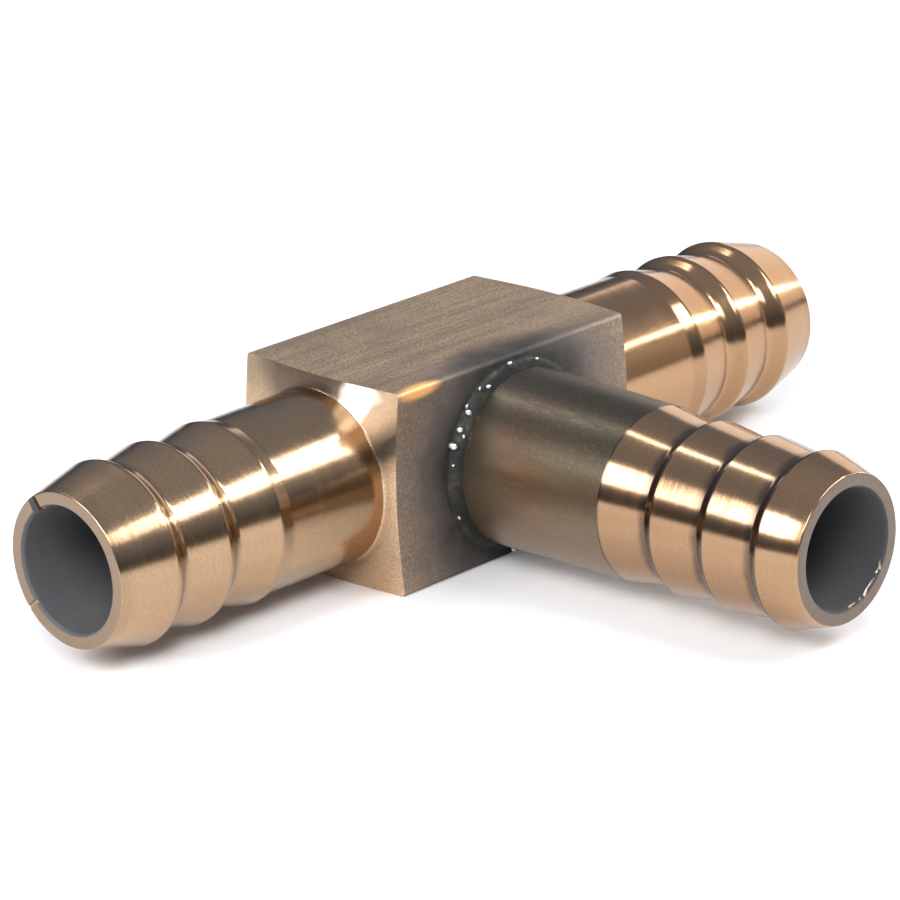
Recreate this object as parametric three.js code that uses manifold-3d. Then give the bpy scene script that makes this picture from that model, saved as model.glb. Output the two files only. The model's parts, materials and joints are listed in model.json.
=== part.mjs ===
// Barbed hose tee in brass. Millimetres, +Z up.
//
// The run lies along X and the branch points along -Y. The origin is the centre of the block's
// underside, straight under the point where the two bores cross.
//
// Three pieces make the fitting:
//   run_body       square bar with a hose barb turned on each end, bored through
//   branch_spigot  turned tube with a hose barb, its pilot seated in the block's cross hole
//   braze_fillet   ring of filler metal in the corner between the spigot and the block

import * as THREE from 'three';
import { mergeVertices } from 'three/addons/utils/BufferGeometryUtils.js';
import Module from 'manifold-3d';

const wasm = await Module();
wasm.setup();

// ---------------------------------------------------------------- Driving dimensions

const BAR_WIDTH = 16;          // square bar stock, across flats
const BLOCK_LENGTH = 26;       // what stays square, between the two turned end faces
const RUN_REACH = 38.2;        // crossing of the bores to each run mouth
const BRANCH_REACH = 40;       // crossing of the bores to the branch mouth

const RUN_BORE_RADIUS = 4.75;
const BRANCH_BORE_RADIUS = 4.5;

// A hose barb, measured from its mouth: radius at the tip, at the crests, in the grooves, where the
// plain neck starts and at its root, the place of the first crest, the pitch of the teeth and the
// length of a tooth's back. The branch's last crest runs straight into its neck.
const RUN_BARB = {
  teeth: 3,
  tipRadius: 5.85,
  crestRadius: 7.05,
  grooveRadius: 6.2,
  neckRadius: 6.8,
  rootRadius: 6.85,
  firstCrest: 4.6,
  pitch: 5.05,
  backLength: 0.6,
};
const BRANCH_BARB = {
  teeth: 4,
  tipRadius: 5.6,
  crestRadius: 6.6,
  grooveRadius: 6.05,
  neckRadius: 6.7,
  rootRadius: 7.0,
  firstCrest: 3.2,
  pitch: 4.88,
  backLength: 0.75,
};

const END_CONE_START = 7.5;    // radius where a turned end face begins to slope back
const END_CONE_ANGLE = 10;     // degrees, slope of the end face at the bar's corners
const TOOL_RADIUS = 0.4;       // left in the corner between a run barb's neck and the end face

const PILOT_RADIUS = 5.6;      // reduced end of the spigot, inside the block
const PILOT_LENGTH = 2.0;
const SOCKET_CLEARANCE = 0.1;  // round the pilot, filled by brazing alloy on the real fitting
const SOCKET_END_GAP = 0.3;    // between the pilot's end and the socket's floor

const FILLET_ON_FACE = 0.8;    // width of the braze ring on the block's side face
const FILLET_ON_NECK = 1.4;    // its height along the spigot's neck
const FILLET_CLEARANCE = 0.05; // between the ring and the neck

const AROUND = 64;             // facets round every turned surface
const ARC_STEPS = 5;           // facets across a fillet
const CUT_MARGIN = 1;          // how far a cutter runs past what it cuts

// ---------------------------------------------------------------- Values that follow from them

const HALF_BAR = BAR_WIDTH / 2;
const HALF_BLOCK = BLOCK_LENGTH / 2;
const BAR_CORNER_RADIUS = HALF_BAR * Math.SQRT2;
const SOCKET_RADIUS = PILOT_RADIUS + SOCKET_CLEARANCE;
const SOCKET_DEPTH = PILOT_LENGTH + SOCKET_END_GAP;

// ---------------------------------------------------------------- Solids

/**
 * A closed solid from a three.js geometry. Only the positions count: shared ones are merged, and the
 * triangles that shrink to a line at the axis of a turned shape are left out.
 */
function toSolid(geometry) {
  const bare = geometry.clone();
  bare.deleteAttribute('normal');
  bare.deleteAttribute('uv');
  const merged = mergeVertices(bare);
  const corners = merged.index.array;
  const triangles = [];
  for (let i = 0; i < corners.length; i += 3) {
    const [a, b, c] = corners.slice(i, i + 3);
    if (a !== b && b !== c && c !== a) {
      triangles.push(a, b, c);
    }
  }
  return new wasm.Manifold(new wasm.Mesh({
    numProp: 3,
    vertProperties: new Float32Array(merged.attributes.position.array),
    triVerts: new Uint32Array(triangles),
  }));
}

/** The geometry of a solid, for a mesh. */
function toGeometry(solid) {
  const mesh = solid.getMesh();
  const geometry = new THREE.BufferGeometry();
  geometry.setAttribute('position', new THREE.BufferAttribute(mesh.vertProperties, 3));
  geometry.setIndex(new THREE.BufferAttribute(mesh.triVerts, 1));
  geometry.computeVertexNormals();
  return geometry;
}

/** A solid of revolution about Y from (radius, y) points, listed anticlockwise as x and y read. */
function turned(points) {
  const outline = points.map(([radius, y]) => new THREE.Vector2(radius, y));
  return new THREE.LatheGeometry(outline, AROUND);
}

/** Points of a hose barb's outline from its mouth to the start of its neck, as (radius, distance). */
function barbOutline(barb) {
  const points = [[barb.tipRadius, 0]];
  for (let tooth = 0; tooth < barb.teeth; tooth += 1) {
    const crest = barb.firstCrest + tooth * barb.pitch;
    const isLast = tooth === barb.teeth - 1;
    if (isLast && barb.neckRadius >= barb.crestRadius) {
      points.push([barb.neckRadius, crest]);
    } else {
      points.push([barb.crestRadius, crest]);
      points.push([isLast ? barb.neckRadius : barb.grooveRadius, crest + barb.backLength]);
    }
  }
  return points;
}

/** A concave quarter arc, from a corner's first leg to its second, as offsets along the two legs. */
function concaveArc(firstLeg, secondLeg) {
  const points = [];
  for (let step = 0; step <= ARC_STEPS; step += 1) {
    const angle = (step / ARC_STEPS) * Math.PI / 2;
    points.push([firstLeg * (1 - Math.sin(angle)), secondLeg * (1 - Math.cos(angle))]);
  }
  return points;
}

// ---------------------------------------------------------------- Run body

/** Outline of one end of the turned bar, from the mouth's centre to the middle of the block. */
function runEndOutline() {
  const outerRadius = BAR_CORNER_RADIUS + CUT_MARGIN;
  const slope = Math.tan(THREE.MathUtils.degToRad(END_CONE_ANGLE));
  const points = [[0, RUN_REACH]];
  for (const [radius, distance] of barbOutline(RUN_BARB)) {
    points.push([radius, RUN_REACH - distance]);
  }
  for (const [outward, along] of concaveArc(TOOL_RADIUS, TOOL_RADIUS).reverse()) {
    points.push([RUN_BARB.rootRadius + outward, HALF_BLOCK + along]);
  }
  points.push([END_CONE_START, HALF_BLOCK]);
  points.push([outerRadius, HALF_BLOCK - (outerRadius - END_CONE_START) * slope]);
  return points;
}

/** The bar with both ends turned, still solid. */
function turnedBar() {
  const farEnd = runEndOutline();
  const nearEnd = farEnd.map(([radius, y]) => [radius, -y]).reverse();
  const envelope = turned([...farEnd, ...nearEnd].reverse());
  envelope.rotateZ(-Math.PI / 2);
  const bar = new THREE.BoxGeometry(2 * (RUN_REACH + CUT_MARGIN), BAR_WIDTH, BAR_WIDTH);
  return toSolid(envelope).intersect(toSolid(bar));
}

/** The bore of the run, from mouth to mouth. */
function runBoreCutter() {
  const length = 2 * (RUN_REACH + CUT_MARGIN);
  const bore = new THREE.CylinderGeometry(RUN_BORE_RADIUS, RUN_BORE_RADIUS, length, AROUND);
  bore.rotateZ(-Math.PI / 2);
  return toSolid(bore);
}

/** The cross hole in the block's front side: a passage to the run's bore, with the spigot's socket. */
function crossHoleCutter() {
  const mouth = -(HALF_BAR + CUT_MARGIN);
  const socketFloor = -(HALF_BAR - SOCKET_DEPTH);
  return toSolid(turned([
    [0, mouth],
    [SOCKET_RADIUS, mouth],
    [SOCKET_RADIUS, socketFloor],
    [BRANCH_BORE_RADIUS, socketFloor],
    [BRANCH_BORE_RADIUS, 0],
    [0, 0],
  ]));
}

function makeRunBody() {
  const solid = turnedBar().subtract(runBoreCutter()).subtract(crossHoleCutter());
  const brass = new THREE.MeshStandardMaterial({ color: 0xb5925c, roughness: 0.35, metalness: 1 });
  const mesh = new THREE.Mesh(toGeometry(solid), brass);
  mesh.name = 'run_body';
  return mesh;
}

// ---------------------------------------------------------------- Branch spigot

function makeBranchSpigot() {
  const outside = barbOutline(BRANCH_BARB).map(([radius, distance]) => [radius, distance - BRANCH_REACH]);
  const pilotEnd = PILOT_LENGTH - HALF_BAR;
  const outline = [
    [BRANCH_BORE_RADIUS, -BRANCH_REACH],
    ...outside,
    [BRANCH_BARB.rootRadius, -HALF_BAR],
    [PILOT_RADIUS, -HALF_BAR],
    [PILOT_RADIUS, pilotEnd],
    [BRANCH_BORE_RADIUS, pilotEnd],
    [BRANCH_BORE_RADIUS, -BRANCH_REACH],
  ];
  const tintedBrass = new THREE.MeshStandardMaterial({ color: 0x8c6d45, roughness: 0.4, metalness: 1 });
  const mesh = new THREE.Mesh(toGeometry(toSolid(turned(outline))), tintedBrass);
  mesh.name = 'branch_spigot';
  return mesh;
}

// ---------------------------------------------------------------- Braze fillet

function makeBrazeFillet() {
  const innerRadius = BRANCH_BARB.rootRadius + FILLET_CLEARANCE;
  const hollow = concaveArc(FILLET_ON_FACE, FILLET_ON_NECK).map(([outward, along]) => [
    innerRadius + outward,
    -HALF_BAR - along,
  ]);
  const outline = [[innerRadius, -HALF_BAR], ...hollow.reverse(), [innerRadius, -HALF_BAR]];
  const filler = new THREE.MeshStandardMaterial({ color: 0x55554a, roughness: 0.55, metalness: 1 });
  const mesh = new THREE.Mesh(toGeometry(toSolid(turned(outline))), filler);
  mesh.name = 'braze_fillet';
  return mesh;
}

// ---------------------------------------------------------------- Assembly

const tee = new THREE.Group();
tee.name = 'barbed_tee_connector';
tee.position.z = HALF_BAR;
tee.add(makeRunBody());
tee.add(makeBranchSpigot());
tee.add(makeBrazeFillet());

export default tee;
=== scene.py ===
# %% [markdown]
# # A brazed brass hose tee
#
# The fitting is a length of square brass bar with a hose barb turned on each end. A third barb, turned
# on a tube of its own, is brazed into the bar's side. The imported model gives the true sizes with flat
# facets. This lesson rebuilds the three pieces with round surfaces and real finishes, in the same place.

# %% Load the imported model
import json
import math
import random

import bmesh
import bpy
from mathutils import Euler, Matrix, Vector

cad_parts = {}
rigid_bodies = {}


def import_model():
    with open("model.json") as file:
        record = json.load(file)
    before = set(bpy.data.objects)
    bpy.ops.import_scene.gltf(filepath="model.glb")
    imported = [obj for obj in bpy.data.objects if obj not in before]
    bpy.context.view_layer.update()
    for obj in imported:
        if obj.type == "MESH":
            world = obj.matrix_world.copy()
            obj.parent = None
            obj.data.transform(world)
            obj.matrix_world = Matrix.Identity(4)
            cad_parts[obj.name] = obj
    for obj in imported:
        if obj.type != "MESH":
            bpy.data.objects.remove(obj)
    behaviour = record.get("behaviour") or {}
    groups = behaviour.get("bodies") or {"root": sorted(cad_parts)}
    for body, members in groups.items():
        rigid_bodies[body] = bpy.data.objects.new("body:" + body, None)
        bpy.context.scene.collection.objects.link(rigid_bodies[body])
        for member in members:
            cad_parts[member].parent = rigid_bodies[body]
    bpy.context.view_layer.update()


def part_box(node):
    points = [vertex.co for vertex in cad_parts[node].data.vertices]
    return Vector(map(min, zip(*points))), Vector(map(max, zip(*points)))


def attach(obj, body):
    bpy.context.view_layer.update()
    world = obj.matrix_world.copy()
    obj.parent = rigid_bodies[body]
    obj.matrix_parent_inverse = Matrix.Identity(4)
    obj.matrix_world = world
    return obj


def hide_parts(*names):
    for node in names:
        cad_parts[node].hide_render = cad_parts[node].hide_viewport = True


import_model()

# %% [markdown]
# ## Sizes
#
# Lengths are easier to read in millimetres, so they are multiplied by MM where they are used. The big
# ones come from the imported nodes. The rest are the turning sizes of the barbs: a hose barb is a row of
# cones that rise away from the mouth and drop back sharply, so that the hose slides on and won't slide
# off. The small roundings are what a real tool tip and a deburring wheel leave on the edges.

# %% Sizes of the run and the branch
MM = 0.001

run_low, run_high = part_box("run_body")
stem_low, stem_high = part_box("branch_spigot")
bead_low, bead_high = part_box("braze_fillet")

half_bar = (run_high.z - run_low.z) / 2
axis_height = run_low.z + half_bar
run_reach = run_high.x
branch_reach = -stem_low.y
pilot_end = stem_high.y

half_block = 13.0 * MM
run_bore = 4.75 * MM
branch_bore = 4.5 * MM
pilot_radius = 5.6 * MM
socket_radius = 5.7 * MM
socket_depth = 2.3 * MM

RUN_BARB = {
    "teeth": 3, "tip": 5.85, "crest": 7.05, "groove": 6.2, "neck": 6.8, "root": 6.85,
    "first": 4.6, "pitch": 5.05, "back": 1.15, "crest_round": 0.8, "groove_round": 1.3,
}
BRANCH_BARB = {
    "teeth": 4, "tip": 5.6, "crest": 6.6, "groove": 6.05, "neck": 6.7, "root": 7.0,
    "first": 3.2, "pitch": 4.88, "back": 0.75, "crest_round": 0.3, "groove_round": 0.35,
}
neck_start = (BRANCH_BARB["first"] + (BRANCH_BARB["teeth"] - 1) * BRANCH_BARB["pitch"]) * MM
print("run reach", run_reach, "branch reach", branch_reach, "axis height", axis_height)

# %% [markdown]
# ## Outlines with rounded corners
#
# A lathe tool never leaves a perfect corner. Each outline is written as a few corners, and each corner
# has its own rounding. A helper swaps the corner for a short arc that touches both sides, which is what
# a 2-D fillet does in a drawing program.

# %% Round the corners of an outline
ARC_STEP = math.radians(15)


def soften(corners):
    """Turns (along, radius, rounding) corners into a list of points, with an arc at each rounding."""
    points = []
    for index, (along, radius, rounding) in enumerate(corners):
        here = Vector((along, radius))
        if rounding == 0 or index in (0, len(corners) - 1):
            points.append(here)
            continue
        to_last = Vector(corners[index - 1][:2]) - here
        to_next = Vector(corners[index + 1][:2]) - here
        half_angle = to_last.angle(to_next) / 2
        reach = min(rounding / math.tan(half_angle), 0.45 * to_last.length, 0.45 * to_next.length)
        middle = (to_last.normalized() + to_next.normalized()).normalized()
        centre = here + middle * (reach / math.cos(half_angle))
        start = here + to_last.normalized() * reach - centre
        end = here + to_next.normalized() * reach - centre
        sweep = start.angle(end)
        steps = max(2, math.ceil(sweep / ARC_STEP))
        for step in range(steps + 1):
            part = step / steps
            arm = start * math.sin((1 - part) * sweep) + end * math.sin(part * sweep)
            points.append(centre + arm / math.sin(sweep))
    return points


def barb_corners(barb):
    """Corners of a barb from its mouth to the start of its neck, in millimetres."""
    corners = [(0, barb["tip"], 0.14)]
    for tooth in range(barb["teeth"]):
        crest = barb["first"] + tooth * barb["pitch"]
        last = tooth == barb["teeth"] - 1
        if last and barb["neck"] >= barb["crest"]:
            corners.append((crest, barb["neck"], 0.6))
        else:
            corners.append((crest, barb["crest"], barb["crest_round"]))
            foot = barb["neck"] if last else barb["groove"]
            corners.append((crest + barb["back"], foot, barb["groove_round"]))
    return corners


print("run barb:", len(soften(barb_corners(RUN_BARB))), "outline points")

# %% [markdown]
# ## Turning a solid
#
# A lathe makes a solid of revolution, and bmesh.ops.spin does the same: it sweeps an outline of a few
# vertices round an axis. use_merge joins the last copy to the first, so the seam is closed. Outlines
# are spun round Z and then laid along the run or the branch, so one helper serves every round piece.
# Cuts are Boolean modifiers. Each is applied at once, so that the next step works on a plain mesh.

# %% Spin an outline and place it
SPIN_STEPS = 192
ALONG_RIGHT = Matrix.Translation((0, 0, axis_height)) @ Matrix.Rotation(math.pi / 2, 4, "Y")
ALONG_BRANCH = Matrix.Translation((0, 0, axis_height)) @ Matrix.Rotation(math.pi / 2, 4, "X")


def turn(points, place, closed=False, steps=SPIN_STEPS):
    """A bmesh of the outline's (along, radius) points spun about the axis, in millimetres, then placed."""
    solid = bmesh.new()
    verts = [solid.verts.new((radius * MM, 0, along * MM)) for along, radius in points]
    pairs = list(zip(verts, verts[1:]))
    if closed:
        pairs.append((verts[-1], verts[0]))
    edges = [solid.edges.new(pair) for pair in pairs]
    bmesh.ops.spin(
        solid, geom=verts + edges, cent=(0, 0, 0), axis=(0, 0, 1), dvec=(0, 0, 0),
        angle=2 * math.pi, steps=steps, use_merge=True,
    )
    bmesh.ops.remove_doubles(solid, verts=solid.verts, dist=0.0001 * MM)
    bmesh.ops.recalc_face_normals(solid, faces=solid.faces)
    bmesh.ops.transform(solid, matrix=place, verts=solid.verts)
    return solid


def as_object(name, solid):
    """Puts a bmesh into a new object at the origin."""
    mesh = bpy.data.meshes.new(name)
    solid.to_mesh(mesh)
    solid.free()
    piece = bpy.data.objects.new(name, mesh)
    bpy.context.scene.collection.objects.link(piece)
    return piece


def settle(piece):
    """Swaps the piece's mesh for what its modifiers make of it, and takes the modifiers off."""
    view = bpy.context.evaluated_depsgraph_get()
    result = bpy.data.meshes.new_from_object(piece.evaluated_get(view))
    piece.modifiers.clear()
    old = piece.data
    piece.data = result
    bpy.data.meshes.remove(old)


def machine(blank, tool, operation):
    """Cuts the blank with a tool object, or keeps what both share, and throws the tool away."""
    cut = blank.modifiers.new("cut", "BOOLEAN")
    cut.operation = operation
    cut.solver = "EXACT"
    cut.object = tool
    settle(blank)
    bpy.data.objects.remove(tool)


# %% [markdown]
# ## The run body
#
# On the bench this piece starts as square bar. The lathe turns down both ends, and the corners of the
# part that stays square pick up the slope of the facing cut, which is why those edges bow outwards in
# the middle. The same steps work here: a bar with its long edges slightly rounded, kept only where a
# turned envelope reaches, then drilled. A boolean gives the bowed edges for free.

# %% Turn and drill the run body
face_slope = math.tan(math.radians(10))
face_start = 7.5
past_corner = 12.3
bar_edge_round = 0.42 * MM


def run_envelope_corners():
    """Corners of half the turned envelope, from a mouth's bore to past the bar's corners."""
    reach = run_reach / MM
    face = half_block / MM
    bore = run_bore / MM
    corners = [(0, bore, 0), (reach - 0.25, bore, 0.3), (reach, bore + 0.14, 0.08)]
    corners += [(reach - along, radius, rounding) for along, radius, rounding in barb_corners(RUN_BARB)]
    corners.append((face, RUN_BARB["root"], 0.22))
    corners.append((face, face_start, 0.5))
    corners.append((face - (past_corner - face_start) * face_slope, past_corner, 0))
    return corners


half_outline = soften(run_envelope_corners())
whole_outline = half_outline + [Vector((-p.x, p.y)) for p in reversed(half_outline[1:])]
envelope = as_object("envelope", turn(whole_outline, ALONG_RIGHT, closed=True))

bar = bmesh.new()
bmesh.ops.create_cube(bar, size=1.0)
bmesh.ops.scale(bar, vec=(2 * run_reach + 2 * MM, 2 * half_bar, 2 * half_bar), verts=bar.verts)
long_edges = [e for e in bar.edges if abs((e.verts[0].co - e.verts[1].co).normalized().x) > 0.9]
bmesh.ops.bevel(
    bar, geom=long_edges, offset=bar_edge_round, segments=5, profile=0.5, affect="EDGES", material=-1,
)
bmesh.ops.translate(bar, vec=(0, 0, axis_height), verts=bar.verts)
tee_body = as_object("tee_body", bar)
machine(tee_body, envelope, "INTERSECT")

side = half_bar / MM
cross_outline = [
    (side + 1, 0), (side + 1, socket_radius / MM), (side - socket_depth / MM, socket_radius / MM),
    (side - socket_depth / MM, branch_bore / MM), (0, branch_bore / MM), (0, 0),
]
machine(tee_body, as_object("cross_drill", turn(cross_outline, ALONG_BRANCH, steps=96)), "DIFFERENCE")
print("run body:", len(tee_body.data.polygons), "faces")

# %% [markdown]
# ### Two dents in the left mouth
#
# The rim of the left mouth has a dark nick, where the fitting was knocked, and a smaller one lower
# down. A small wedge, laid across the rim at the right angle, cuts each of them. Angles are measured
# round the run from the +Y side towards +Z.

# %% Nick the rim
RIM_RADIUS = 5.4 * MM
WEDGE_LENGTH = 3.4 * MM


def rim_wedge(name, angle, width, depth):
    """A wedge that crosses the left mouth's rim at an angle round the run, in millimetres."""
    wedge = bmesh.new()
    bmesh.ops.create_cone(
        wedge, cap_ends=True, segments=4, radius1=width * MM, radius2=width * 0.55 * MM,
        depth=WEDGE_LENGTH,
    )
    for turn_angle, axis in ((math.radians(45), "Z"), (math.pi / 2, "Y"), (math.pi / 2, "Z")):
        turn_by = Matrix.Rotation(turn_angle, 3, axis)
        bmesh.ops.rotate(wedge, cent=(0, 0, 0), matrix=turn_by, verts=wedge.verts)
    outside = -run_reach - (width * 0.7 - depth) * MM
    bmesh.ops.translate(wedge, vec=(outside, RIM_RADIUS, 0), verts=wedge.verts)
    turn_by = Matrix.Rotation(math.radians(angle), 3, "X")
    bmesh.ops.rotate(wedge, cent=(0, 0, 0), matrix=turn_by, verts=wedge.verts)
    bmesh.ops.translate(wedge, vec=(0, 0, axis_height), verts=wedge.verts)
    return as_object(name, wedge)


machine(tee_body, rim_wedge("nick_tool", 55, 0.85, 0.6), "DIFFERENCE")
machine(tee_body, rim_wedge("small_nick_tool", 318, 0.3, 0.2), "DIFFERENCE")

# %% [markdown]
# ### Break the block's curved edges
#
# Where the facing cut meets the bar's flats the edge is sharp enough to cut a finger, so it is broken
# by a tenth of a millimetre. Rounded edges also matter to the eye, because they catch a thin line of
# light. bmesh.ops.bevel takes only the edges that lie between a flat and a turned end. Points that fall
# almost on top of each other are merged before it and after it, so no sliver of a face is left.

# %% Bevel the edges between the flats and the turned ends
FLAT_LIMIT = 0.02 * MM
EDGE_BREAK = 0.1 * MM
MERGE_BEFORE = 0.002 * MM
MERGE_AFTER = 0.001 * MM


def on_flat(face):
    """True if the face lies on one of the bar's four flats."""
    middle = face.calc_center_median() - Vector((0, 0, axis_height))
    return max(abs(middle.y), abs(middle.z)) > half_bar - FLAT_LIMIT and abs(face.normal.x) < 0.01


edges_tool = bmesh.new()
edges_tool.from_mesh(tee_body.data)
bmesh.ops.remove_doubles(edges_tool, verts=edges_tool.verts, dist=MERGE_BEFORE)
bmesh.ops.dissolve_degenerate(edges_tool, edges=edges_tool.edges, dist=MERGE_BEFORE)
bowed = []
for edge in edges_tool.edges:
    if len(edge.link_faces) == 2 and abs(abs(edge.verts[0].co.x) - half_block) < 1.0 * MM:
        flats = [on_flat(face) for face in edge.link_faces]
        if flats[0] != flats[1] and edge.calc_face_angle(0) > math.radians(40):
            bowed.append(edge)
bmesh.ops.bevel(
    edges_tool, geom=bowed, offset=EDGE_BREAK, segments=2, profile=0.5, affect="EDGES", material=-1,
    clamp_overlap=True,
)
bmesh.ops.remove_doubles(edges_tool, verts=edges_tool.verts, dist=MERGE_AFTER)
bmesh.ops.dissolve_degenerate(edges_tool, edges=edges_tool.edges, dist=MERGE_AFTER)
edges_tool.to_mesh(tee_body.data)
edges_tool.free()
print("bowed edges broken:", len(bowed))

# %% [markdown]
# ## The branch stem
#
# The stem is a hollow tube, so its outline is a closed loop: out along the barb, in along the bore.
# The reduced pilot at its far end sits in the block's socket, where nobody sees it, but it is kept, so
# that the piece is whole if it is looked at alone.

# %% Turn the branch stem
stem_reach = branch_reach / MM
stem_bore = branch_bore / MM
stem_corners = [(stem_reach - 0.25, stem_bore, 0), (stem_reach, stem_bore + 0.14, 0.08)]
stem_corners += [
    (stem_reach - along, radius, rounding) for along, radius, rounding in barb_corners(BRANCH_BARB)
]
stem_corners += [
    (side, BRANCH_BARB["root"], 0), (side, pilot_radius / MM, 0), (-pilot_end / MM, pilot_radius / MM, 0.1),
    (-pilot_end / MM, stem_bore, 0.1), (stem_reach - 0.25, stem_bore, 0),
]
branch_stem = as_object("branch_stem", turn(soften(stem_corners)[:-1], ALONG_BRANCH, closed=True))
print("branch stem:", len(branch_stem.data.polygons), "faces")

# %% [markdown]
# ## The braze bead
#
# Molten filler is drawn into the corner between the stem and the block and freezes as a hollow fillet,
# a little fuller in one place than another. A closed ring with a concave face is spun first. Then each
# vertex of the free face moves along its normal by a smooth wave round the ring, so the bead is uneven
# but has no cracks. random is seeded, so the bead is the same each time.

# %% Make the braze bead
random.seed(7)
bead_inner = BRANCH_BARB["root"]
bead_outer = bead_high.x / MM - 0.2
bead_height = (-bead_low.y) / MM - side - 0.3
bead_arc = 9
bead_points = [(side, bead_inner)]
for step in range(bead_arc + 1):
    swing = step / bead_arc * math.pi / 2
    bead_points.append((
        side + bead_height * (1 - math.cos(swing)),
        bead_inner + (bead_outer - bead_inner) * (1 - math.sin(swing)),
    ))
bead = turn(bead_points, ALONG_BRANCH, closed=True, steps=144)
waves = [
    (count, random.uniform(0.01, 0.03), random.uniform(0, 2 * math.pi)) for count in (2, 3, 5, 9, 14, 23)
]
for vert in bead.verts:
    inward = math.hypot(vert.co.x, vert.co.z - axis_height) / MM
    lift = (-vert.co.y / MM) - side
    if lift > 0.02 and inward > bead_inner + 0.02:
        around = math.atan2(vert.co.z - axis_height, vert.co.x)
        swell = sum(size * math.sin(count * around + shift) for count, size, shift in waves)
        vert.co += vert.normal * swell * MM
bmesh.ops.recalc_face_normals(bead, faces=bead.faces)
braze_bead = as_object("braze_bead", bead)
print("braze bead:", len(braze_bead.data.polygons), "faces")

# %% [markdown]
# ### Bright grains on the bead
#
# A few beads of bare filler and flux glass sit on the dark ring and catch the light. Each is a tiny
# squashed ball, half sunk into the bead. Angles are measured round the branch from the +X side
# towards +Z, and each grain has its own size.

# %% Scatter the grains
GRAINS = [
    (119, 7.35, 0.75, 0.2), (123, 7.5, 0.35, 0.16), (139, 7.45, 0.6, 0.3), (136, 7.6, 0.3, 0.17),
    (150, 7.5, 0.5, 0.24), (153, 7.25, 0.85, 0.15), (160, 7.6, 0.35, 0.27), (171, 7.4, 0.5, 0.13),
    (96, 7.5, 0.4, 0.15), (74, 7.4, 0.55, 0.13), (40, 7.45, 0.5, 0.2), (12, 7.5, 0.45, 0.14),
    (205, 7.5, 0.45, 0.15), (262, 7.45, 0.5, 0.2), (318, 7.5, 0.45, 0.16),
]
grains = bmesh.new()
for angle, radius, lift, size in GRAINS:
    turn_angle = math.radians(angle)
    spot = Vector((
        radius * math.cos(turn_angle) * MM,
        -(side + lift) * MM,
        axis_height + radius * math.sin(turn_angle) * MM,
    ))
    wide, thick, tall = random.uniform(0.7, 1.1), random.uniform(0.6, 0.9), random.uniform(0.9, 1.4)
    squash = Matrix.Diagonal((wide, thick, tall, 1))
    spin = Euler([random.uniform(0, math.pi) for _ in range(3)]).to_matrix().to_4x4()
    place = Matrix.Translation(spot) @ spin @ squash
    bmesh.ops.create_icosphere(grains, subdivisions=2, radius=size * MM, matrix=place)
braze_grains = as_object("braze_grains", grains)
print("grains:", len(GRAINS))

# %% [markdown]
# ### Burrs in the branch mouth
#
# The drill left a few torn flakes on the inner edge of the branch mouth. Each is a thin, tapering curl:
# a cone with few sides, squashed flat and laid along the rim. They are small, but they break the
# perfect circle, which is what makes a machined edge look real.

# %% Add the burrs
BURRS = [
    (331, 1.0, 0.3), (324, 0.5, 0.18), (311, 0.8, 0.24), (302, 1.1, 0.3), (292, 0.6, 0.2), (280, 0.9, 0.22),
]
burrs = bmesh.new()
for angle, length, thickness in BURRS:
    turn_angle = math.radians(angle)
    radius = stem_bore + 0.05
    spot = Vector((
        radius * math.cos(turn_angle) * MM,
        -(stem_reach - 0.2) * MM,
        axis_height + radius * math.sin(turn_angle) * MM,
    ))
    tilt = Matrix.Rotation(math.radians(random.uniform(-25, 25)), 4, "X")
    lean = Matrix.Rotation(-turn_angle, 4, "Y") @ tilt
    flat = Matrix.Diagonal((0.55, 0.35, 1.0, 1))
    bmesh.ops.create_cone(
        burrs, cap_ends=True, segments=7, radius1=thickness * MM, radius2=thickness * 0.2 * MM,
        depth=length * MM, matrix=Matrix.Translation(spot) @ lean @ flat,
    )
bmesh.ops.subdivide_edges(burrs, edges=burrs.edges, cuts=1, use_grid_fill=True)
for vert in burrs.verts:
    vert.co += Vector([random.uniform(-0.03, 0.03) * MM for _ in range(3)])
mouth_burrs = as_object("mouth_burrs", burrs)
print("burrs:", len(BURRS))

# %% [markdown]
# ## Smooth shading with crisp edges
#
# Round surfaces should shade smoothly and real corners should stay crisp. Edges that turn more than a
# set angle are marked sharp. A Weighted Normal modifier then lets the big flat faces keep a flat look
# right up to their rounded edges. It is applied, so the mesh itself keeps those normals.

# %% Shade the pieces
def shade(piece, angle=32, weighted=False):
    """Smooth shading with sharp edges past an angle in degrees."""
    piece.data.shade_smooth()
    piece.data.set_sharp_from_angle(angle=math.radians(angle))
    if weighted:
        even = piece.modifiers.new("flat faces lead", "WEIGHTED_NORMAL")
        even.keep_sharp = True
        even.weight = 100
        settle(piece)
        print(piece.name, "keeps its own normals:", piece.data.has_custom_normals)


shade(tee_body, weighted=True)
shade(branch_stem)
shade(braze_bead, 60)
shade(braze_grains, 80)
shade(mouth_burrs, 50)

# %% [markdown]
# ## Finishes
#
# Every finish here is brass that something has happened to: cut by a lathe, drawn through a die, heated
# by a torch or drilled. Several also carry painted shade and painted highlights. The node helpers keep
# each recipe short. Patterns read Object coordinates, which are plain metres here because every piece
# sits at the origin.

# %% Helpers for materials
def new_finish(name):
    """A material with its Principled shader and its object coordinates."""
    material = bpy.data.materials.new(name)
    material.use_nodes = True
    tree = material.node_tree
    shader = tree.nodes["Principled BSDF"]
    where = tree.nodes.new("ShaderNodeTexCoord").outputs["Object"]
    return material, tree, shader, where


def add_node(tree, kind, inputs=None, **settings):
    """A node with its settings, and with inputs that are sockets to link or plain values."""
    node = tree.nodes.new(kind)
    for key, value in settings.items():
        setattr(node, key, value)
    for key, value in (inputs or {}).items():
        socket = node.inputs[key]
        if isinstance(value, bpy.types.NodeSocket):
            tree.links.new(value, socket)
        else:
            socket.default_value = value
    return node


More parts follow.
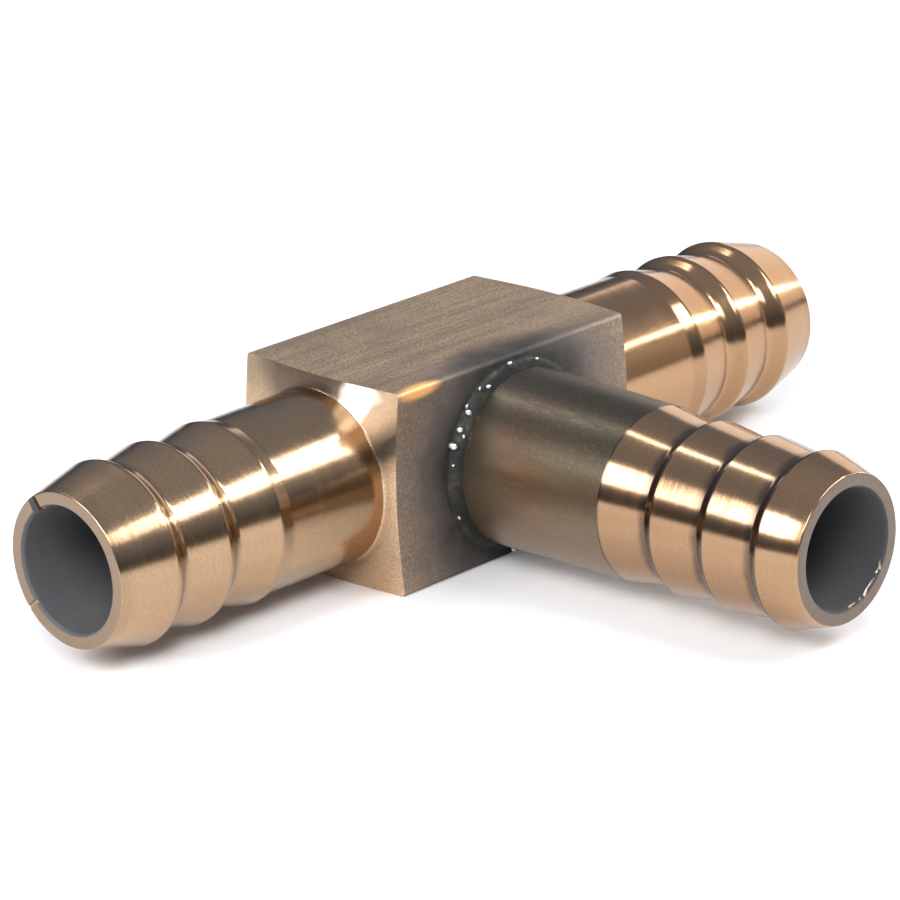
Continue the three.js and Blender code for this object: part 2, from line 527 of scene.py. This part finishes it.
def ramp(tree, factor, stops):
    """A colour ramp through (position, colour) stops."""
    node = add_node(tree, "ShaderNodeValToRGB", {"Fac": factor})
    elements = node.color_ramp.elements
    while len(elements) < len(stops):
        elements.new(0.5)
    for element, (position, colour) in zip(elements, stops):
        element.position = position
        element.color = (*colour, 1)
    return node.outputs["Color"]


def grey_ramp(tree, factor, stops):
    """A ramp of plain values."""
    return ramp(tree, factor, [(position, (value, value, value)) for position, value in stops])


def mix_colour(tree, factor, first, second):
    """A blend from the first colour to the second."""
    node = tree.nodes.new("ShaderNodeMix")
    node.data_type = "RGBA"
    for socket, value in ((node.inputs[0], factor), (node.inputs[6], first), (node.inputs[7], second)):
        if isinstance(value, bpy.types.NodeSocket):
            tree.links.new(value, socket)
        elif isinstance(value, (int, float)):
            socket.default_value = value
        else:
            socket.default_value = (*value, 1)
    return node.outputs[2]


def noise(tree, vector, scale, detail=3.0, roughness=0.5, **settings):
    """Fractal noise from 0 to 1. The scale is in features per metre."""
    node = add_node(
        tree, "ShaderNodeTexNoise",
        {"Vector": vector, "Scale": scale, "Detail": detail, "Roughness": roughness}, **settings,
    )
    return node.outputs["Fac"]


def stretched(tree, vector, scale):
    """Coordinates scaled by a different amount along each axis."""
    return add_node(
        tree, "ShaderNodeVectorMath", {0: vector, 1: scale}, operation="MULTIPLY",
    ).outputs["Vector"]


def rings(tree, where, axis, scale, detail=3.0):
    """Noise that changes only along one axis, so that it makes rings on a turned surface."""
    keep = {"X": (1, 0, 0), "Y": (0, 1, 0)}[axis]
    return noise(tree, stretched(tree, where, keep), scale, detail)


def maths(tree, operation, *values):
    """The result of a Math node on sockets or plain values."""
    return add_node(tree, "ShaderNodeMath", dict(enumerate(values)), operation=operation).outputs[0]


def fade(tree, value, start, end, first, last):
    """Goes from first to last while the value goes from start to end, and stays there."""
    limits = {"From Min": start, "From Max": end, "To Min": first, "To Max": last}
    return add_node(tree, "ShaderNodeMapRange", {"Value": value, **limits}).outputs["Result"]


def part_of(tree, vector, axis):
    """One coordinate of a vector."""
    return add_node(tree, "ShaderNodeSeparateXYZ", {"Vector": vector}).outputs[axis]


def length_of(tree, vector):
    """The length of a vector."""
    return add_node(tree, "ShaderNodeVectorMath", {0: vector}, operation="LENGTH").outputs["Value"]


def bump(tree, height, distance, strength=1.0, normal=None):
    """A normal bent by a height, with its depth in metres."""
    inputs = {"Height": height, "Distance": distance, "Strength": strength}
    if normal is not None:
        inputs["Normal"] = normal
    return add_node(tree, "ShaderNodeBump", inputs).outputs["Normal"]


# %% [markdown]
# ### Turned brass
#
# A turning tool leaves fine rings. Across the rings the surface is rough, along them it is smooth, so a
# highlight stretches along the barb. The shader's anisotropy does this better than bump alone: the
# Tangent node gives the direction round the axis, and a quarter turn points the stretch across the
# rings. Fine and broad ring noise varies the colour, the roughness and the height, and a very fine
# noise gives a satin grain. Painted shade darkens the groove behind each tooth. The run barbs get a
# little warmer to the right. The block's end faces carry painted wedges round the run: dark ones are
# painted shade and a bright one is a painted highlight.

# %% Turned brass
BRASS_LIGHT = (0.50, 0.34, 0.208)
BRASS_DEEP = (0.39, 0.25, 0.143)
SATIN_SHADE = (0.27, 0.165, 0.09)
TARNISH_BROWN = (0.32, 0.225, 0.155)
WARM_BRASS = (0.42, 0.235, 0.115)
GROOVE_PAINTED_SHADE = (0.09, 0.07, 0.06)
PAINTED_SHADE_WEDGE = (0.13, 0.10, 0.08)
PAINTED_HIGHLIGHT_WEDGE = (0.98, 0.93, 0.86)
GROOVE_SHADE_LEAD = 0.15


def painted_groove_shade(tree, where, axis, reach, barb, strength):
    """Painted shade behind each crest: strong at the step, gone before halfway to the next crest."""
    off_centre = maths(tree, "ABSOLUTE", part_of(tree, where, axis))
    from_crest = maths(tree, "SUBTRACT", reach - (barb["first"] - GROOVE_SHADE_LEAD) * MM, off_centre)
    on_barb = maths(tree, "MINIMUM", from_crest, (barb["teeth"] - 0.5) * barb["pitch"] * MM)
    past_crest = maths(tree, "FLOORED_MODULO", on_barb, barb["pitch"] * MM)
    share = maths(tree, "DIVIDE", past_crest, barb["pitch"] * MM)
    pushed = maths(tree, "MULTIPLY_ADD", noise(tree, where, 700, 4.0, 0.6), 0.16, share)
    return grey_ramp(tree, pushed, [
        (0.04, strength * 0.6), (0.1, strength), (0.32, strength * 0.85), (0.42, 0.0),
    ])


def painted_end_reflections(tree, where):
    """Painted shade and painted highlight wedges round the run. The share of a turn is 0.25 at -Z, 0.5 at
    +Y, 0.75 at +Z.
    """
    off_y = part_of(tree, where, "Y")
    rise = maths(tree, "SUBTRACT", part_of(tree, where, "Z"), axis_height)
    angle = maths(tree, "ARCTAN2", rise, off_y)
    pushed = maths(tree, "MULTIPLY_ADD", noise(tree, where, 420, 3.0), 0.25, angle)
    share = fade(tree, pushed, -math.pi, math.pi, 0.0, 1.0)
    # Dark wedges: painted shade on the end faces.
    dull = grey_ramp(tree, share, [
        (0.0, 0.05), (0.3, 0.0), (0.55, 0.2), (0.62, 0.1), (0.68, 0.75), (0.86, 0.8), (0.88, 0.66),
        (0.91, 0.66), (0.93, 0.8), (0.95, 0.75), (0.97, 0.1), (1.0, 0.05),
    ])
    # The bright wedge: a painted highlight.
    painted_highlight = grey_ramp(tree, share, [(0.825, 0.0), (0.838, 1.0), (0.872, 1.0), (0.885, 0.0)])
    off_axis = add_node(tree, "ShaderNodeCombineXYZ", {"Y": off_y, "Z": rise}).outputs["Vector"]
    inner = fade(tree, length_of(tree, off_axis), 9.4 * MM, 10.1 * MM, 1.0, 0.0)
    return dull, maths(tree, "MULTIPLY", painted_highlight, inner)


def turned_brass(
    name, axis, light=BRASS_LIGHT, deep=BRASS_DEEP, anisotropy=0.2, roughness=(0.15, 0.25), tarnish=0.25,
    shade_in_grooves=None, painted_wedges=False, warm_end=False,
):
    """Bright brass with the rings of a turning tool round the given axis."""
    material, tree, shader, where = new_finish(name)
    fine = rings(tree, where, axis, 5200, 4.0)
    broad = rings(tree, where, axis, 900, 2.0)
    cloud = noise(tree, where, 210, 4.0, 0.55)
    satin = noise(tree, where, 7000, 2.0, 0.8)
    colour = mix_colour(tree, fine, deep, light)
    colour = mix_colour(tree, grey_ramp(tree, satin, [(0.42, 0.35), (0.55, 0.0)]), colour, SATIN_SHADE)
    colour = mix_colour(tree, grey_ramp(tree, cloud, [(0.45, 0.0), (0.75, tarnish)]), colour, TARNISH_BROWN)
    if warm_end:
        warmth = fade(tree, part_of(tree, where, "X"), -5 * MM, 15 * MM, 0.0, 0.6)
        colour = mix_colour(tree, warmth, colour, WARM_BRASS)
    # Painted shade in the groove behind each tooth.
    if shade_in_grooves is not None:
        colour = mix_colour(tree, painted_groove_shade(tree, where, axis, *shade_in_grooves), colour, GROOVE_PAINTED_SHADE)
    # Painted shade and painted highlight wedges on the end faces.
    if painted_wedges:
        dull, painted_highlight = painted_end_reflections(tree, where)
        colour = mix_colour(tree, dull, colour, PAINTED_SHADE_WEDGE)
        colour = mix_colour(tree, painted_highlight, colour, PAINTED_HIGHLIGHT_WEDGE)
    tree.links.new(colour, shader.inputs["Base Color"])
    low, high = roughness
    rough = grey_ramp(tree, maths(tree, "MULTIPLY", fine, broad), [(0.1, low), (0.5, high)])
    tree.links.new(rough, shader.inputs["Roughness"])
    shader.inputs["Metallic"].default_value = 1.0
    shader.inputs["Anisotropic"].default_value = anisotropy
    shader.inputs["Anisotropic Rotation"].default_value = 0.25
    around = add_node(tree, "ShaderNodeTangent", direction_type="RADIAL", axis=axis).outputs["Tangent"]
    tree.links.new(around, shader.inputs["Tangent"])
    bent = bump(tree, fine, 0.005 * MM, 0.5)
    bent = bump(tree, broad, 0.014 * MM, 0.8, bent)
    bent = bump(tree, satin, 0.003 * MM, 0.4, bent)
    tree.links.new(bump(tree, cloud, 0.025 * MM, 0.4, bent), shader.inputs["Normal"])
    return material


barb_brass = turned_brass("turned brass, run", "X", shade_in_grooves=(run_reach, RUN_BARB, 0.15), warm_end=True)
# The branch's grooves get a strong painted shade.
tooth_brass = turned_brass(
    "turned brass, branch", "Y", light=(0.45, 0.282, 0.163), deep=(0.36, 0.215, 0.117),
    roughness=(0.13, 0.22), tarnish=0.15, shade_in_grooves=(branch_reach, BRANCH_BARB, 0.85),
)
# The end faces' brass is painted much lighter than the barbs' as painted light, and carries the painted
# wedges.
faced_brass = turned_brass(
    "faced brass", "X", light=(0.98, 0.72, 0.48), deep=(0.82, 0.58, 0.38), anisotropy=1.0,
    roughness=(0.38, 0.46), tarnish=0.3, painted_wedges=True,
)
print("turned finishes made")

# %% [markdown]
# ### Drawn bar
#
# The block's flats were never machined. They keep the skin of drawn bar: dull, grey-brown, with fine
# grain, faint bands and scratches along the run. Part of the light is scattered by the oxide, so the
# shader is only partly metallic. Round the joint the torch turned the skin darker, with soot right next
# to it, and the darkening also serves as painted shade on the front face next to the branch. The
# distance from the joint, roughened by noise, drives both. One spot on the top front edge is rubbed
# down to bare brass and painted bright orange as a highlight. Its centre and reach are measured from
# the joint.

# %% Drawn bar
SKIN_DARK = (0.345, 0.242, 0.155)
SKIN_LIGHT = (0.525, 0.37, 0.242)
GRAIN_DARK = (0.15, 0.11, 0.075)
GRAIN_LIGHT = (0.70, 0.52, 0.355)
CLOUD_BROWN = (0.24, 0.185, 0.13)
BAND_DARK = (0.21, 0.15, 0.1)
BAND_LIGHT = (0.64, 0.45, 0.29)
SCORCH_AND_SHADE_DARK = (0.115, 0.097, 0.086)
SCORCH_AND_SHADE_LIGHT = (0.215, 0.178, 0.155)
BLOCK_SOOT = (0.048, 0.047, 0.042)
RUBBED_BRASS_HIGHLIGHT = (0.86, 0.43, 0.16)
RUB_AND_HIGHLIGHT_CENTRE = (-10.2 * MM, 0.0, 7.7 * MM)
RUB_AND_HIGHLIGHT_REACH = (2.7 * MM, 1.08 * MM, 0.729 * MM)
RAGGED = 2 * MM


def closeness(tree, vector, cloud, near, far):
    """One near the origin of a vector and zero past far, with an edge made ragged by the cloud."""
    ragged = maths(tree, "MULTIPLY_ADD", cloud, 2 * RAGGED, length_of(tree, vector))
    return fade(tree, ragged, near + RAGGED, far + RAGGED, 1.0, 0.0)


def drawn_bar():
    """The dull skin of drawn bar, heat-stained, sooty and darker as painted shade towards the brazed joint,
    with one rubbed edge painted bright as a highlight.
    """
    material, tree, shader, where = new_finish("drawn bar")
    scratch = noise(tree, stretched(tree, where, (60, 4200, 4200)), 1.0, 5.0, 0.6)
    grain = noise(tree, where, 5200, 2.0, 0.8)
    cloud = noise(tree, where, 260, 4.0, 0.55)
    bands = noise(tree, stretched(tree, where, (28, 420, 420)), 1.0, 4.0, 0.6)
    colour = mix_colour(tree, scratch, SKIN_DARK, SKIN_LIGHT)
    for pattern, stops, tone in (
        (grain, [(0.52, 0.0), (0.66, 0.8)], GRAIN_LIGHT),
        (grain, [(0.34, 0.7), (0.46, 0.0)], GRAIN_DARK),
        (cloud, [(0.4, 0.0), (0.75, 0.45)], CLOUD_BROWN),
        (bands, [(0.4, 0.3), (0.52, 0.0)], BAND_DARK),
        (bands, [(0.52, 0.0), (0.66, 0.2)], BAND_LIGHT),
    ):
        colour = mix_colour(tree, grey_ramp(tree, pattern, stops), colour, tone)

    joint = add_node(
        tree, "ShaderNodeMapping", {"Vector": where, "Location": (0, half_bar, -axis_height)},
    ).outputs["Vector"]
    rub_and_highlight_place = add_node(tree, "ShaderNodeMapping", {
        "Vector": joint,
        "Location": [-centre / reach for centre, reach in zip(RUB_AND_HIGHLIGHT_CENTRE, RUB_AND_HIGHLIGHT_REACH)],
        "Scale": [1 / reach for reach in RUB_AND_HIGHLIGHT_REACH],
    }).outputs["Vector"]
    # A rubbed spot of bare brass, painted bright orange as the edge's highlight.
    rubbed_and_highlight = grey_ramp(tree, length_of(tree, rub_and_highlight_place), [(0.5, 1.0), (1.0, 0.0)])

    # Heat stain round the joint, which also serves as painted shade over the front face next to the branch.
    heat_and_shade = closeness(tree, stretched(tree, joint, (0.8, 4.0, 0.7)), cloud, 7.5 * MM, 13.5 * MM)
    soot = closeness(tree, stretched(tree, joint, (1.0, 1.6, 0.93)), cloud, 7.2 * MM, 10.2 * MM)
    colour = mix_colour(tree, heat_and_shade, colour, mix_colour(tree, grain, SCORCH_AND_SHADE_DARK, SCORCH_AND_SHADE_LIGHT))
    colour = mix_colour(tree, soot, colour, BLOCK_SOOT)
    colour = mix_colour(tree, rubbed_and_highlight, colour, RUBBED_BRASS_HIGHLIGHT)
    tree.links.new(colour, shader.inputs["Base Color"])
    metal = grey_ramp(tree, rubbed_and_highlight, [(0.0, 0.75), (1.0, 0.35)])
    tree.links.new(metal, shader.inputs["Metallic"])
    dull = grey_ramp(tree, scratch, [(0.3, 0.36), (0.7, 0.52)])
    dull = mix_colour(tree, heat_and_shade, dull, (0.62, 0.62, 0.62))
    tree.links.new(mix_colour(tree, rubbed_and_highlight, dull, (0.4, 0.4, 0.4)), shader.inputs["Roughness"])
    bent = bump(tree, scratch, 0.006 * MM, 0.6)
    tree.links.new(bump(tree, grain, 0.012 * MM, 0.6, bent), shader.inputs["Normal"])
    return material


bar_skin = drawn_bar()
print("drawn bar made")

# %% [markdown]
# ### Heat-tinted neck
#
# Brass that has been through a torch flame goes through brown, red-brown and olive, and turns almost
# black next to the joint. The stem's neck shows those colours in soft bands. The place along the branch,
# pushed about by noise, runs through a colour ramp. The top is painted darker as shade, and the
# underside lighter as a painted reflection of the floor. The oxide is rougher than the metal under it.

# %% Heat-tinted neck
OXIDE_COLOURS = [
    (0.0, (0.075, 0.066, 0.052)), (0.06, (0.17, 0.135, 0.095)), (0.28, (0.19, 0.152, 0.094)),
    (0.48, (0.190, 0.112, 0.076)), (0.7, (0.160, 0.130, 0.078)), (1.0, (0.135, 0.10, 0.066)),
]
TOOL_LINE = (0.085, 0.068, 0.052)
NECK_TOP_PAINTED_SHADE = (0.062, 0.052, 0.037)
NECK_UNDERSIDE_PAINTED_REFLECTION = (0.27, 0.195, 0.135)
NECK_SOOT = (0.05, 0.047, 0.042)
NECK_SPECKLE = (0.30, 0.235, 0.16)


def heat_tint():
    """Oxide colours that change from the joint to the last tooth."""
    material, tree, shader, where = new_finish("heat-tinted brass")
    cloud = noise(tree, stretched(tree, where, (1, 0.6, 1)), 260, 4.0, 0.6)
    speckle = noise(tree, where, 4200, 3.0, 0.7)
    draw = noise(tree, stretched(tree, where, (3200, 700, 3200)), 1.0, 4.0, 0.6)
    pushed = maths(tree, "MULTIPLY_ADD", cloud, -9 * MM, part_of(tree, where, "Y"))
    tint_end = -branch_reach + neck_start - 4.5 * MM
    place = fade(tree, pushed, -half_bar - 3.4 * MM, tint_end, 0.0, 1.0)
    colour = ramp(tree, place, OXIDE_COLOURS)
    colour = mix_colour(tree, grey_ramp(tree, draw, [(0.35, 0.35), (0.6, 0.0)]), colour, TOOL_LINE)
    height = part_of(tree, where, "Z")
    # Painted shade on top and a painted reflection of the floor underneath.
    painted_top_shade = fade(tree, height, axis_height + 0.5 * MM, axis_height + 6.0 * MM, 0.0, 0.72)
    colour = mix_colour(tree, painted_top_shade, colour, NECK_TOP_PAINTED_SHADE)
    painted_floor_reflection = fade(tree, height, axis_height - 4.0 * MM, axis_height + 1.0 * MM, 0.85, 0.0)
    colour = mix_colour(tree, painted_floor_reflection, colour, NECK_UNDERSIDE_PAINTED_REFLECTION)
    root = add_node(
        tree, "ShaderNodeMapping", {"Vector": where, "Location": (0, half_bar, -axis_height + 6.5 * MM)},
    ).outputs["Vector"]
    soot = closeness(tree, root, cloud, 1.0 * MM, 5.0 * MM)
    colour = mix_colour(tree, soot, colour, NECK_SOOT)
    colour = mix_colour(tree, grey_ramp(tree, speckle, [(0.55, 0.0), (0.8, 0.5)]), colour, NECK_SPECKLE)
    tree.links.new(colour, shader.inputs["Base Color"])
    shader.inputs["Metallic"].default_value = 0.9
    tree.links.new(grey_ramp(tree, draw, [(0.3, 0.40), (0.7, 0.30)]), shader.inputs["Roughness"])
    bent = bump(tree, draw, 0.006 * MM, 0.6)
    tree.links.new(bump(tree, speckle, 0.012 * MM, 0.5, bent), shader.inputs["Normal"])
    return material


tinted_brass = heat_tint()
print("heat tint made")

# %% [markdown]
# ### Bore, bead and grains
#
# The bores are drilled and never polished, with ring marks, and painted dark grey as the shade inside
# them. The bead is filler covered in burnt flux, a rough dark grey. The grains and the burrs are bare
# metal, lighter than all that is round them. The parted-off mouth faces are duller than the barbs, in
# soft patches, and the branch's is painted darker still as a dark reflection.


# %% Bore, bead and grain finishes
def drilled(axis, shade):
    """A dull drilled bore in a cool grey of the given shade, painted dark as the shade inside it."""
    material, tree, shader, where = new_finish("drilled bore, " + axis)
    marks = rings(tree, where, axis, 2600, 4.0)
    cloud = noise(tree, where, 320, 4.0)
    cool = (shade, 0.97 * shade, 1.02 * shade)
    colour = mix_colour(tree, marks, [0.8 * part for part in cool], cool)
    warm = (1.3 * shade, 1.2 * shade, 1.1 * shade)
    colour = mix_colour(tree, grey_ramp(tree, cloud, [(0.5, 0.0), (0.8, 0.4)]), colour, warm)
    tree.links.new(colour, shader.inputs["Base Color"])
    shader.inputs["Metallic"].default_value = 0.0
    tree.links.new(grey_ramp(tree, marks, [(0.3, 0.6), (0.7, 0.75)]), shader.inputs["Roughness"])
    tree.links.new(bump(tree, marks, 0.02 * MM, 0.5), shader.inputs["Normal"])
    return material


def burnt_filler():
    """Braze filler under burnt flux."""
    material, tree, shader, where = new_finish("burnt filler")
    lumps = noise(tree, where, 900, 5.0, 0.65)
    fine = noise(tree, where, 4200, 3.0, 0.7)
    colour = ramp(tree, lumps, [
        (0.3, (0.018, 0.018, 0.016)), (0.55, (0.034, 0.033, 0.029)), (0.75, (0.085, 0.07, 0.055)),
    ])
    tree.links.new(colour, shader.inputs["Base Color"])
    shader.inputs["Metallic"].default_value = 0.6
    tree.links.new(grey_ramp(tree, fine, [(0.3, 0.45), (0.7, 0.7)]), shader.inputs["Roughness"])
    bent = bump(tree, lumps, 0.12 * MM, 0.6)
    tree.links.new(bump(tree, fine, 0.03 * MM, 0.5, bent), shader.inputs["Normal"])
    return material


def bare_metal(name, light, deep, roughness):
    """Small bright pieces of bare metal."""
    material, tree, shader, where = new_finish(name)
    patch = noise(tree, where, 5200, 3.0)
    tree.links.new(mix_colour(tree, patch, deep, light), shader.inputs["Base Color"])
    shader.inputs["Metallic"].default_value = 0.75
    rough = grey_ramp(tree, patch, [(0.3, roughness), (0.7, roughness + 0.15)])
    tree.links.new(rough, shader.inputs["Roughness"])
    tree.links.new(bump(tree, patch, 0.03 * MM, 0.6), shader.inputs["Normal"])
    return material


def mouth_face(axis, deep, light):
    """The parted-off face of a mouth: duller than the barb, in soft patches."""
    material, tree, shader, where = new_finish("mouth face, " + axis)
    patch = noise(tree, where, 1400, 4.0, 0.6)
    tree.links.new(mix_colour(tree, patch, deep, light), shader.inputs["Base Color"])
    shader.inputs["Metallic"].default_value = 0.9
    tree.links.new(grey_ramp(tree, patch, [(0.3, 0.38), (0.7, 0.55)]), shader.inputs["Roughness"])
    tree.links.new(bump(tree, patch, 0.03 * MM, 0.4), shader.inputs["Normal"])
    return material


# Both bores are painted dark as shade, the branch's bore darker.
run_bore_skin = drilled("X", 0.11)
branch_bore_skin = drilled("Y", 0.06)
run_mouth_skin = mouth_face("X", (0.24, 0.172, 0.12), (0.37, 0.27, 0.187))
# The branch mouth's darker colours are a painted dark reflection.
branch_mouth_skin = mouth_face("Y", (0.12, 0.095, 0.085), (0.26, 0.2, 0.15))
bead_skin = burnt_filler()
grain_skin = bare_metal("bare filler", (0.95, 0.95, 0.93), (0.62, 0.64, 0.62), 0.2)
burr_skin = bare_metal("torn brass", (0.9, 0.75, 0.58), (0.6, 0.44, 0.3), 0.25)
print("bore, bead and grain finishes made")


# %% [markdown]
# ## Give each face its finish
#
# One piece can carry several finishes. A face's centre says how it was made: on a flat of the bar, in
# the bore, on an end face or on a barb. On the stem, the last tooth's crest is where the bright turned
# metal stops and the heat tint starts.

# %% Sort the faces
def give_finishes(piece, finishes, choose):
    """Fills the piece's slots and gives each face the finish that choose returns for it."""
    piece.data.materials.clear()
    for finish in finishes:
        piece.data.materials.append(finish)
    counts = [0] * len(finishes)
    for face in piece.data.polygons:
        face.material_index = choose(face.center, face.normal)
        counts[face.material_index] += 1
    print(piece.name, dict(zip([finish.name for finish in finishes], counts)))


def body_finish(centre, normal):
    """Finish number of a face of the run body."""
    out = Vector((centre.y, centre.z - axis_height))
    outward = normal.y * out.x + normal.z * out.y
    if out.length < socket_radius and (outward < -0.1 * out.length or abs(centre.x) < half_block):
        return 3
    if abs(centre.x) > run_reach - 0.05 * MM and abs(normal.x) > 0.9:
        return 4
    near_flat = max(abs(out.x), abs(out.y)) > half_bar - bar_edge_round - 0.01 * MM
    if abs(centre.x) < half_block and near_flat and abs(normal.x) < 0.5:
        return 1
    if abs(centre.x) < half_block + 0.1 * MM and abs(normal.x) > 0.5:
        return 2
    return 0


def stem_finish(centre, normal):
    """Finish number of a face of the branch stem."""
    out = Vector((centre.x, centre.z - axis_height))
    if out.x * normal.x + out.y * normal.z < -0.1 * out.length and out.length < branch_bore + 0.2 * MM:
        return 2
    if centre.y < -branch_reach + 0.05 * MM and abs(normal.y) > 0.9:
        return 3
    return 1 if centre.y > -branch_reach + neck_start else 0


give_finishes(tee_body, [barb_brass, bar_skin, faced_brass, run_bore_skin, run_mouth_skin], body_finish)
give_finishes(branch_stem, [tooth_brass, tinted_brass, branch_bore_skin, branch_mouth_skin], stem_finish)
give_finishes(braze_bead, [bead_skin], lambda centre, normal: 0)
give_finishes(braze_grains, [grain_skin], lambda centre, normal: 0)
give_finishes(mouth_burrs, [burr_skin], lambda centre, normal: 0)

# %% [markdown]
# ## Tie the pieces to the imported model
#
# The new pieces stand for the three imported nodes. The fitting has no moving parts, so there is one body.

# %% Ride the root body and hide the imported nodes
SLOTS = {
    tee_body: ("machined_brass", "run_body"),
    branch_stem: ("heat_tinted_brass", "branch_spigot"),
    braze_bead: ("braze_filler", "braze_fillet"),
    braze_grains: ("braze_filler", None),
    mouth_burrs: ("heat_tinted_brass", None),
}
for piece, (slot, node) in SLOTS.items():
    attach(piece, "root")
    if node:
        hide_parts(node)

# %% [markdown]
# ## Floor, light and camera
#
# Polished metal shows the room more than itself. So the light is nine rectangular lights, each placed
# where a barb or an edge mirrors it: softboxes on the right, on the left and behind give the white
# bands, a front light fills the flats, a warm wall and a warm fill give the right barb its colour, and
# two small bright ones give a glint and a thin streak. The dark horizon between them and the pale floor
# gives the contrast that reads as metal.
# The world is pale where the camera looks at it directly and dim where the metal mirrors it. Far from
# the fitting the floor gives off a little light, so it stays pale in low views.

# %% Floor
floor_mesh = bmesh.new()
bmesh.ops.create_grid(floor_mesh, x_segments=1, y_segments=1, size=3.0)
floor = as_object("floor", floor_mesh)
floor_finish, floor_tree, floor_shader, floor_where = new_finish("pale floor")
soft = noise(floor_tree, floor_where, 3, 2.0)
floor_tree.links.new(
    mix_colour(floor_tree, soft, (0.90, 0.90, 0.90), (0.93, 0.93, 0.93)), floor_shader.inputs["Base Color"],
)
floor_shader.inputs["Roughness"].default_value = 0.9
glow_up = grey_ramp(floor_tree, length_of(floor_tree, floor_where), [(0.12, 0.0), (0.6, 0.75)])
floor_tree.links.new(glow_up, floor_shader.inputs["Emission Strength"])
floor_shader.inputs["Emission Color"].default_value = (1, 1, 1, 1)
floor_shader.inputs["Specular IOR Level"].default_value = 0.1
floor.data.materials.append(floor_finish)


# %% Lights
def towards(azimuth, elevation):
    """Unit vector at an azimuth from the front, positive to the right, and an elevation, in degrees."""
    a, e = math.radians(azimuth), math.radians(elevation)
    return Vector((math.sin(a) * math.cos(e), -math.cos(a) * math.cos(e), math.sin(e)))


def softbox(name, target, azimuth, elevation, distance, width, height, glow, colour=(1, 1, 1), roll=0):
    """A rectangular light that faces its target, in metres, with the brightness of its face."""
    lamp = bpy.data.lights.new(name, "AREA")
    lamp.shape = "RECTANGLE"
    lamp.size, lamp.size_y = width, height
    lamp.energy = glow * 4 * width * height
    lamp.color = colour
    holder = bpy.data.objects.new(name, lamp)
    bpy.context.scene.collection.objects.link(holder)
    out = towards(azimuth, elevation)
    turn_to = out.to_track_quat("Z", "Y").to_matrix().to_4x4()
    rolled = turn_to @ Matrix.Rotation(math.radians(roll), 4, "Z")
    holder.matrix_world = Matrix.Translation(Vector(target) + out * distance) @ rolled
    return holder


WARM_WHITE = (1.0, 0.88, 0.76)
run_spot = (-0.020, 0, axis_height)
branch_spot = (0, -0.028, axis_height)
right_spot = (0.03, 0, axis_height)
softbox("right softbox", run_spot, 33, 41, 0.257, 0.170, 0.068, 8.0, roll=-14)
softbox("left softbox", branch_spot, -92, 31, 0.30, 0.060, 0.120, 14.0)
softbox("back left softbox", branch_spot, -116, 31, 0.30, 0.080, 0.115, 7.0)
softbox("edge spark", (-0.011, -0.008, 0.016), 64, 42, 0.12, 0.014, 0.014, 14.0)
softbox("front light", (0.02, 0.02, 0), -48, 38, 0.60, 0.20, 0.20, 9.6)
softbox("branch streak", branch_spot, 180, 52, 0.30, 0.014, 0.14, 12.0)
softbox("right wall", right_spot, 98, 18, 0.40, 0.46, 0.20, 1.15, colour=WARM_WHITE)
softbox("right fill", right_spot, 50, 13, 0.40, 0.13, 0.15, 0.38, colour=WARM_WHITE)
softbox("rear streak", (0.027, -0.006, 0.012), 69, 22, 0.3, 0.18, 0.007, 34.0, roll=-34)

world = bpy.data.worlds.new("studio")
bpy.context.scene.world = world
world.use_nodes = True
sky = world.node_tree
sky.nodes.clear()
look = add_node(sky, "ShaderNodeTexCoord").outputs["Generated"]
up = part_of(sky, look, "Z")
dim = ramp(sky, up, [
    (0.0, (0.06, 0.065, 0.075)), (0.15, (0.10, 0.11, 0.13)), (0.35, (0.24, 0.27, 0.33)),
    (0.75, (0.36, 0.40, 0.50)), (1.0, (0.5, 0.54, 0.62)),
])
room = add_node(sky, "ShaderNodeBackground", {"Color": dim, "Strength": 1.0}).outputs["Background"]
near_white = (0.95, 0.95, 0.95, 1)
pale = add_node(sky, "ShaderNodeBackground", {"Color": near_white, "Strength": 1.0}).outputs["Background"]
seen = add_node(sky, "ShaderNodeLightPath").outputs["Is Camera Ray"]
both_rooms = add_node(sky, "ShaderNodeMixShader", {0: seen, 1: room, 2: pale}).outputs["Shader"]
add_node(sky, "ShaderNodeOutputWorld", {"Surface": both_rooms})

# %% [markdown]
# ### Camera
#
# A long lens close to the table flattens the fitting the way a catalogue picture does. The camera looks
# at the crossing of the two bores from the front left, with a slight roll.

# %% Camera
VIEW_AZIMUTH = -45.6
VIEW_ELEVATION = 19.5
VIEW_ROLL = -1.8
VIEW_DISTANCE = 0.3162
LENS = 164.0

camera_data = bpy.data.cameras.new("camera")
camera_data.lens = LENS
camera_data.sensor_width = 36.0
camera_data.shift_x = 0.0119
camera_data.shift_y = -0.0216
camera_data.clip_start = 0.01
camera_data.clip_end = 20.0
camera = bpy.data.objects.new("camera", camera_data)
bpy.context.scene.collection.objects.link(camera)
back = towards(VIEW_AZIMUTH, VIEW_ELEVATION)
right = Vector((math.cos(math.radians(VIEW_AZIMUTH)), math.sin(math.radians(VIEW_AZIMUTH)), 0))
upright = Matrix((right, back.cross(right), back)).transposed().to_4x4()
camera.matrix_world = (
    Matrix.Translation(Vector((0, 0, axis_height)) + back * VIEW_DISTANCE)
    @ upright
    @ Matrix.Rotation(math.radians(VIEW_ROLL), 4, "Z")
)
bpy.context.scene.camera = camera
bpy.context.scene.view_settings.view_transform = "Standard"
